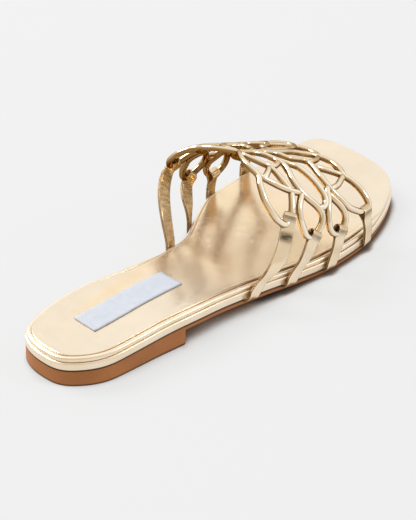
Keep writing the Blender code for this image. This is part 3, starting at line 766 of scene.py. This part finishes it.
bm = layer([(2.8, 6.99, 1), (1.5, 7.0, 1), (1.05, 7.03, 0.6), (0.82, 7.14, 0.1), (0.72, 7.45), (0.68, 8.0),
            (0.71, 8.45), (0.84, 8.82), (1.1, 9.12), (1.45, 9.3), (1.8, 9.38), (2.2, 9.4), (2.5, 9.33),
            (2.66, 9.27, 0.12), (2.8, 9.18, 0.25), (2.94, 8.98, 0.6), (2.97, 8.5, 1), (2.98, 8.0, 1)],
           over_ground)
painted_dye_and_shade = bm.verts.layers.float["painted_dye_and_shade"]
# Dye and painted shade inside the groove.
for vert in bm.verts:
    if vert.co.z - ground(vert.co.y) > 8.6:         # the top is a little lower at the toe
        vert.co.z -= 0.1 * share(vert.co.y, 190, 208)
    if vert.co.z - ground(vert.co.y) > 7.9:         # inside the groove
        vert[painted_dye_and_shade] = min(1.0, vert[painted_dye_and_shade] * groove_dye_and_shade(vert.co))
finish("rolled_rim", bm, gold, "footbed")

# %% [markdown]
# ## Padded sock and label
# The sock is thin foil leather over a few millimetres of foam, a little hollow where the heel
# rests. Its edge is turned down into the groove inside the rim and darkened there with dye and
# painted shade, and an embossed line follows it round the heel. A highlight is painted on the
# film at the heel and the toe, and shade is painted in a crescent behind the hollow and in a streak beside
# the label.

# %% Sock
PAD_UNDER, PAD_TOP = 8.3, 10.0  # heights of its two faces over the underside of the shoe
DISH, DISH_Y, DISH_HALF = 1.7, 40, 23       # hollow under the heel: depth, middle, half width


def pad_top(x, y):
    """Height of the sock, with the hollow under the heel and a shallow dip under the ball."""
    middle = 3.0 + sin(pi * min(1, max(0, y / 240)))
    half_length = 40 if y < DISH_Y else 70
    hollow = DISH * hump(y, DISH_Y, half_length, 2.6, 1.3) * hump(x, middle, DISH_HALF, 2.6, 1.3)
    dip = 0.21 * hump(y, 165, 60) * hump(x, 5, 34)
    return ground(y) + PAD_TOP - hollow - dip


def sock_rows(more):
    """Sock outline: inside the rim groove as far as the ball, then out over the edge of the toe."""
    inside, over = rails(3.0 + more), rails(0.72 + more)
    rows = []
    for (y, a, b), (y2, a2, b2) in zip(inside, over):
        out = eased(share(y, 186, 208))
        rows.append((y + (y2 - y) * out, a + (a2 - a) * out, b + (b2 - b) * out))
    return rows


# The turned-down edge of the sock is painted brown in the groove, dye and shade in place of its highlight.
SOCK_EDGE = [                   # how far in from the edge, how far down, share of dye and painted shade
    (0, 1.6, 1), (0, 0.7, 1), (0.02, 0.4, 1), (0.07, 0.2, 1), (0.2, 0.06, 1), (0.45, 0.01, 0.75),
    (0.75, 0, 0.2), (1.2, 0, 0)]
EMBOSSED = [(1.9, 0.01, 0), (2.3, 0.07, 0.05), (2.6, 0.11, 0.3), (2.9, 0.07, 0.05), (3.3, 0.01, 0),
            (4.0, 0, 0), (5.0, 0, 0)]


def add_ring(ring, more, height, dye_and_shade, drawn_in=0.0):
    """Next ring of the sock, with its dye and painted shade."""
    ring = next_ring(bm, ring, ring_spots(sock_rows(more), height, drawn_in))
    for vert in ring:
        vert[painted_dye_and_shade] = min(1.0, dye_and_shade * groove_dye_and_shade(vert.co))
    return ring


def under_sock(x, y):
    """Height of the underside of the sock."""
    return ground(y) + PAD_UNDER


bm = bmesh.new()
bm.verts.layers.float.new("painted_dye_and_shade")
painted_highlight = bm.verts.layers.float.new("painted_highlight")
painted_dye_and_shade = bm.verts.layers.float["painted_dye_and_shade"]      # found after both are made, because a new one moves it
ring = first_ring(bm, ring_spots(sock_rows(0), under_sock, 1))
for drawn_in in (0.5, 0):
    ring = add_ring(ring, 0, under_sock, 0, drawn_in)
for more, down, dye_and_shade in SOCK_EDGE:
    ring = add_ring(ring, more, lambda x, y: pad_top(x, y) - down, dye_and_shade)
for more, down, dye_and_shade in EMBOSSED:
    ring = add_ring(ring, more, lambda x, y: pad_top(x, y) - down * share(y, 74, 34), dye_and_shade)
for step in range(1, 21):
    ring = add_ring(ring, 5.0, pad_top, 0, step / 20)
# Painted highlight at the heel and the toe, and painted shade beside the label and in a crescent behind
# the hollow.
for vert in bm.verts:
    x, y, z = vert.co
    label_side_shade = hump(x, -6, 5) * hump(y, 58, 34)       # painted shade beside the label: less highlight, a little darker
    vert[painted_highlight] = max(share(y, 112, 67), share(y, 172, 206)) - 0.8 * label_side_shade
    around = Vector(((x - 4) / 19, (y - 41) / 29))
    crescent_shade = hump(around.length, 1, 0.2) * max(0.0, around.normalized().dot((-0.75, -0.66)))
    if around.length < 1.3:
        vert[painted_dye_and_shade] = max(vert[painted_dye_and_shade], 0.09 * label_side_shade + 0.10 * crescent_shade)
sock = finish("padded_sock", bm, gold_sock, "insole")

# %% Label
LABEL, LABEL_SIZE, LABEL_TURN = (5.4, 53.5), (14.4, 55.2), 6.3      # middle, size, degrees
LABEL_LIFT, LABEL_T = 0.05, 0.45            # room under it, and thickness
bm = bmesh.new()
bmesh.ops.create_grid(bm, x_segments=12, y_segments=40, size=0.5)
bmesh.ops.transform(bm, verts=bm.verts, matrix=(
    Matrix.Translation((*LABEL, 0)) @ Matrix.Rotation(radians(-LABEL_TURN), 4, "Z")
    @ Matrix.Diagonal((*LABEL_SIZE, 1, 1))))
for vert in bm.verts:
    vert.co.z = pad_top(vert.co.x, vert.co.y) + LABEL_LIFT
grown = bmesh.ops.extrude_face_region(bm, geom=bm.faces[:])
for vert in (v for v in grown["geom"] if isinstance(v, bmesh.types.BMVert)):
    vert.co.z += LABEL_T
finish("heel_label_patch", bm, label_cloth, "heel_label")

# %% [markdown]
# ## Net cords
# Each cord is a strip of foil leather rolled round a soft core. A flat grid is rolled into a
# tube along each line of the net in the same way, which leaves the grid's own UV map running
# along and round the cord for the leather's grain.

# %% Roll a strip along a path
def roll(bm, path, ups, section, around):
    """Grid rolled along a path. section(turn, i) gives the offset across and up at a turn of 0 to 1."""
    uv = bm.loops.layers.uv.verify()
    n = len(path) - 1
    made = bmesh.ops.create_grid(bm, x_segments=around, y_segments=n, size=0.5, calc_uvs=True)
    reach = [0.0]
    for a, b in zip(path, path[1:]):
        reach.append(reach[-1] + (b - a).length)
    frames = []
    for i in range(n + 1):
        t = (path[min(i + 1, n)] - path[max(i - 1, 0)]).normalized()
        across = t.cross(ups[i]).normalized()
        frames.append((across, across.cross(t)))
    faces, places = set(), []
    for vert in made["verts"]:
        i = round((vert.co.y + 0.5) * n)
        faces.update(vert.link_faces)
        places.append((vert, i))
        a, b = section(vert.co.x + 0.5, i)
        vert.co = path[i] + frames[i][0] * a + frames[i][1] * b
    for face in faces:
        for loop in face.loops:
            u, v = loop[uv].uv
            loop[uv].uv = (u * CORD_GIRTH, reach[round(v * n)] * MM)
    return places


def close_ends(bm):
    """Cap whatever is still open."""
    bmesh.ops.remove_doubles(bm, verts=bm.verts, dist=SAME_SPOT)
    bmesh.ops.holes_fill(bm, edges=[e for e in bm.edges if e.is_boundary], sides=0)


# %% Routes of the cords, as (degrees from the crown, millimetres along the shoe) on the outer side
NET = {
    "collar_loop": [
        (-1.4, 135.9), (7, 130.5), (14, 127.3), (21, 125.8), (30, 125.6), (38, 122),
        (47, 119.8), (56, 120.4), (64.2, 123.5), (68, 127.2), (65, 131.4), (58.5, 134.3),
        (52, 136.8), (46, 139.3)],
    "tie_1": [(30, 126), (35, 129), (41, 133.7), (45, 138.5), (48, 145)],
    "inner_1": [
        (1, 135.4), (7, 134), (14, 135.8), (20, 138.6), (22, 142.5), (20, 147.5), (17, 151)],
    "bridge_1": [(23, 139), (28.5, 133.7), (33, 128.4)],
    "inner_2": [(22, 139.3), (29, 139.3), (35, 138.8), (42, 138.8), (46, 139.3)],
    "loop_2": [
        (12, 151.5), (17, 151.5), (21, 151.8), (27, 150), (35, 146.7), (43, 145.2),
        (48, 145.8), (53, 147.4), (58, 150), (63, 151.7), (68, 152.2), (74, 150.9),
        (79.5, 147.6), (83.3, 143.4), (81, 139.8), (75, 138.2), (67, 137.4), (60, 138.6),
        (54, 141.5), (48, 145.5)],
    "spine_leaf": [
        (1, 144.5), (2.6, 147.6), (6, 150.3), (12, 151.6), (19, 156), (23, 159.5),
        (29, 160.3), (38, 160.5), (47, 160.2), (54, 159.6), (59, 158), (62, 155),
        (61, 151.3)],
    "loop_4": [
        (1, 153), (2.4, 157.5), (6, 162), (12, 163.4), (14.5, 168), (17, 172.5),
        (20, 173.6), (26, 172), (33, 169.5), (41, 167.8), (48, 167.3), (55, 168.5),
        (62, 170.5), (69.5, 173.5), (75.5, 178), (80, 182.3), (81.5, 186), (79.5, 189.2),
        (75, 190.4), (68, 190.4), (59, 190.2), (50, 189.6), (44, 188.7), (39, 187)],
    "front": [
        (2.4, 158.5), (2.6, 170), (3.4, 177), (5.5, 181.5), (7, 186), (10, 190),
        (15, 193.5), (21, 194.2), (28, 192.5), (34, 190), (39, 187)],
    "bridge_2": [(12, 191), (17, 184), (20, 174)],
    "bridge_3": [(24, 172.5), (28, 176), (31.5, 180), (35, 183.7), (39, 187)],
    "bridge_4": [(39, 187), (43, 181), (47, 174.8), (49, 167.6)],
    "loop_3": [
        (46, 166.8), (50, 164), (56, 161.6), (62, 158.8), (68, 156.8), (76, 155.6),
        (83, 156.3), (88.5, 158.9), (90.3, 162.1), (87, 165.6), (80.5, 168.4), (72, 168.8),
        (64, 167.2), (57, 164.8), (51, 163.5)],
}
SPINE = [(0, 133.8), (0, 141), (0, 149), (0, 158), (0, 163)]
FRONT_TIE = [(-12, 192), (-6, 195.3), (0, 196.4), (6, 195.5), (12, 192)]


# %% Net cords
CORD_R, CORD_STEP, CORD_SIDES = 1.62, 1.0, 14
END_TAPER = (0.55, 0.82, 0.95, 1.0)     # radius shares over the last steps of a cord


def cord_share(angle):
    """Share of the radius, which is smaller on the crown, where the cord is pulled tight."""
    return 0.86 + 0.18 * share(abs(angle), 0, 60)


def rolled_cord(bm, line, seed):
    """Cord along (angle, y) points of the vault, its ends drawn in."""
    flat = even([Vector(p) for p in open_curve(line, 14)], CORD_STEP)
    path = [vault(*p) for p in flat]
    ups = [vault_normal(*p) for p in flat]
    last = len(path) - 1

    def section(turn, i):
        r = CORD_R * END_TAPER[min(i, last - i, 3)] * cord_share(flat[i].x)
        r *= 1 + 0.035 * noise.noise(Vector((i * 0.25, seed * 7.3, turn * 0.6)))
        return r * sin(2 * pi * turn), -r * cos(2 * pi * turn)

    roll(bm, path, ups, section, CORD_SIDES)


INNER_COLLAR = 4.5              # degrees by which the collar loop stops short on the inner side
cords = {"spine": SPINE, "front_tie": FRONT_TIE}
for name, line in NET.items():
    cords[name] = line
    shorter = INNER_COLLAR if name == "collar_loop" else 0.0
    cords[name + "_inner"] = [(-angle + shorter * max(0.0, angle / 66) ** 4, y) for angle, y in line]
bm = bmesh.new()
for number, line in enumerate(cords.values()):
    rolled_cord(bm, line, number)
close_ends(bm)
finish("net_cords", bm, gold_cord, "upper")

# %% [markdown]
# ## Straps
# Eight flat straps hold the net to the sole. Each is one strip doubled over: it comes out
# between midsole and outsole, goes up outside, over the cord of a loop, and down again inside,
# and the two layers are cemented together. So a strap has a round eye at the top, where it
# goes over the cord, and below that two layers with their cut edges showing. Shade is painted
# on the outer face at the eye and again 10 mm below it, most of all on the long front strap,
# and on the inner layer, darkest at the eye.

# %% Strap lines
STRAP_W, STRAP_T, FOLD_R, STRAP_SIDES = 6.6, 0.82, 2.1, 24
GAP, EYE = 0.08, 5.5            # between the two layers, and length over which they open at the top
PINCH, PINCH_STEPS = 0.16, 11   # how much narrower a strap is over the cord, and over how many steps
FOOT, FOOT_BEND = 2.6, 2.0      # height of the strap in the joint, and height over which it turns up
JOINT, RIM_TOP = 2.95, 10.6     # heights of the joint, and from which a strap is free
CLEAR = STRAP_T + 0.25          # how far it stands off the edge of the sole
LINE_STEP, HELD_STEPS = 0.8, 8  # spacing along a strap, and steps at its foot that aren't smoothed
STRAPS = [
    # side, place on the sole edge, lean to the toe for each unit up, angle and place on the
    # vault, how far the top turns to face back, how far it stands out as it leaves the rim,
    # and how strongly it holds to its direction at each end
    (+1, 102.3, 0.98, 64, 131.0, 38, 0.50, 0.50, 0.34),
    (+1, 128.4, 0.74, 82, 145.0, 12, 0.38, 0.44, 0.36),
    (+1, 156.0, 0.42, 87.5, 164.3, 8, 0.15, 0.40, 0.30),
    (+1, 185.8, 0.05, 81, 186.0, 0, 0.10, 0.35, 0.30),
    (-1, 107.5, 0.00, 60, 128.3, 0, 0.20, 0.42, 0.30),
    (-1, 135.4, 0.00, 82, 145.3, 0, 0.02, 0.40, 0.35),
    (-1, 166.2, 0.00, 88.5, 161.8, 0, 0.02, 0.35, 0.30),
    (-1, 194.5, 0.00, 81, 187.0, 0, 0.05, 0.35, 0.30),
]


def edge_at(side, y):
    """Sole edge point and outward plan direction at a y, on one side."""
    near = min((p for p in EDGE if (p.x - 3.0) * side > 0), key=lambda p: abs(p.y - y))
    i = EDGE.index(near)
    t = (EDGE[(i + 1) % len(EDGE)] - EDGE[i - 1]).normalized()
    a = EDGE[i - 1] if (near.y - y) * (near.y - EDGE[i - 1].y) > 0 else EDGE[(i + 1) % len(EDGE)]
    f = (y - near.y) / (a.y - near.y) if abs(a.y - near.y) > 1e-6 else 0.0
    return near.lerp(a, f), Vector((t.y, -t.x, 0.0))


def length(path):
    """Length along a path."""
    return sum((b - a).length for a, b in zip(path, path[1:]))


def strap_foot(side, y_base, lean):
    """Middle line of a strap from the joint, round its lower edge and up the side of the sole."""
    def beside(height, stand):
        y = y_base + lean * (height - JOINT)
        point, away = edge_at(side, y)
        return Vector((point.x, point.y, ground(y) + height)) + away * stand

    line = [beside(FOOT, stand) for stand in (-3.0, -2.0, -1.0)]
    for turn in (0.2, 0.4, 0.6, 0.8, 1.0):
        line.append(beside(FOOT + (1 - cos(pi / 2 * turn)) * FOOT_BEND,
                           sin(pi / 2 * turn) * (CLEAR + 1.0) - 1.0))
    for up in (0.2, 0.4, 0.6, 0.8, 1.0):
        line.append(beside(FOOT + FOOT_BEND + (RIM_TOP - FOOT - FOOT_BEND) * up, CLEAR))
    return line


def strap_line(side, y_base, lean, angle, y_top, swing, out, hold_low, hold_high):
    """Middle line of a strap from the joint to the cord that it holds, with the direction
    across it and the direction out of it at each point."""
    line = strap_foot(side, y_base, lean)
    foot_steps = round(length(line) / LINE_STEP)
    away = edge_at(side, y_base)[1]
    toeward = Vector((-away.y * side, away.x * side, 0.0))
    leave = (away * out + toeward * lean + Vector((0, 0, 1))).normalized()
    top, face = vault(angle * side, y_top), vault_normal(angle * side, y_top)
    span = (top - line[-1]).length
    climb = face.cross((top - line[-1]).normalized()).cross(face).normalized()
    knots = (line[-1], line[-1] + leave * span * hold_low, top - climb * span * hold_high, top)
    for k in range(1, 29):
        t = k / 28
        line.append(knots[0] * (1 - t) ** 3 + knots[1] * 3 * t * (1 - t) ** 2
                    + knots[2] * 3 * t * t * (1 - t) + knots[3] * t ** 3)
    line = even(line, LINE_STEP)
    for _ in range(14):         # take the corners out of the rest
        free = zip(line[HELD_STEPS - 1:], line[HELD_STEPS:], line[HELD_STEPS + 1:])
        line = line[:HELD_STEPS] + [(a + b * 2 + c) / 4 for a, b, c in free] + line[-1:]
    across, faces = [], []
    turned = Matrix.Rotation(radians(-swing) * side, 3, "Z") @ Vector((0, 1, 0))
    for i in range(len(line)):
        t = (line[min(i + 1, len(line) - 1)] - line[max(i - 1, 0)]).normalized()
        w = toeward.lerp(turned, eased(share(i, foot_steps - 3, foot_steps + 23)))
        across.append((w - t * w.dot(t)).normalized())
        faces.append(across[-1].cross(t).normalized() * side)
    return line, across, faces


def crease_shade_amount(line, i):
    """How much shade is painted in the creases of the outer face: at the fold, and again 10 mm below it,
    more on a long strap.
    """
    below = length(line[i:])
    second = 0.156 + 0.884 * share(len(line) * LINE_STEP, 38, 46)
    return 0.9 * hump(below, 0.5, 2.8, power=1) + second * hump(below, 10, 3.2)


def folded(line, across, faces):
    """Path of one strip that goes up outside, over the cord and down again inside, with the
    direction across it and its painted shade value: below 0 where shade is painted in the creases of the
    outer face, above 0 at the eye and on the inner layer."""
    last = len(line) - 1
    ahead = (line[last] - line[last - 1]).normalized()
    apart = []
    for i in range(len(line)):
        eye = eased(share(length(line[i:]), EYE, 0))
        apart.append((STRAP_T + GAP) / 2 * (1 - eye) + FOLD_R * eye)
    outer = [p + f * d for p, f, d in zip(line, faces, apart)]
    inner = [p - f * d for p, f, d in zip(line, faces, apart)]
    bend = [line[last] + (ahead * sin(radians(a)) + faces[last] * cos(radians(a))) * FOLD_R
            for a in range(15, 180, 15)]
    return (outer + bend + inner[::-1],
            across + [across[last]] * len(bend) + across[::-1],
            [-crease_shade_amount(line, i) for i in range(len(outer))] + [0.5] * len(bend)
            + [1 - 0.5 * k / len(inner) for k in range(len(inner))])


# %% Straps
bm = bmesh.new()
painted_strap_shade = bm.verts.layers.float.new("painted_strap_shade")
strap_lengths = []
for number, numbers in enumerate(STRAPS):
    side = numbers[0]
    line, across, faces = strap_line(*numbers)
    strap_lengths.append(round(length(line), 1))
    path, widths, painted_shade_amounts = folded(line, across, faces)
    ups = []
    for i, w in enumerate(widths):
        t = (path[min(i + 1, len(path) - 1)] - path[max(i - 1, 0)]).normalized()
        ups.append(w.cross(t) * side)

    def section(turn, i):
        c, s = cos(2 * pi * turn), sin(2 * pi * turn)     # squared up below into flat faces
        pinch = 1 - PINCH * share(abs(i - len(path) / 2), PINCH_STEPS, 0)
        wave = noise.noise(Vector((i * 0.55, number * 5.1, c * 0.8))) * max(0.0, painted_shade_amounts[i])
        return (STRAP_W / 2 * pinch * abs(c) ** 0.42 * (1 if c > 0 else -1),
                STRAP_T / 2 * abs(s) ** 0.6 * (1 if s > 0 else -1) + 0.10 * wave)

    for vert, i in roll(bm, path, ups, section, STRAP_SIDES):
        vert[painted_strap_shade] = painted_shade_amounts[i]
close_ends(bm)
finish("flat_straps", bm, gold_strap, None)
print("straps up to their cords, mm:", strap_lengths)
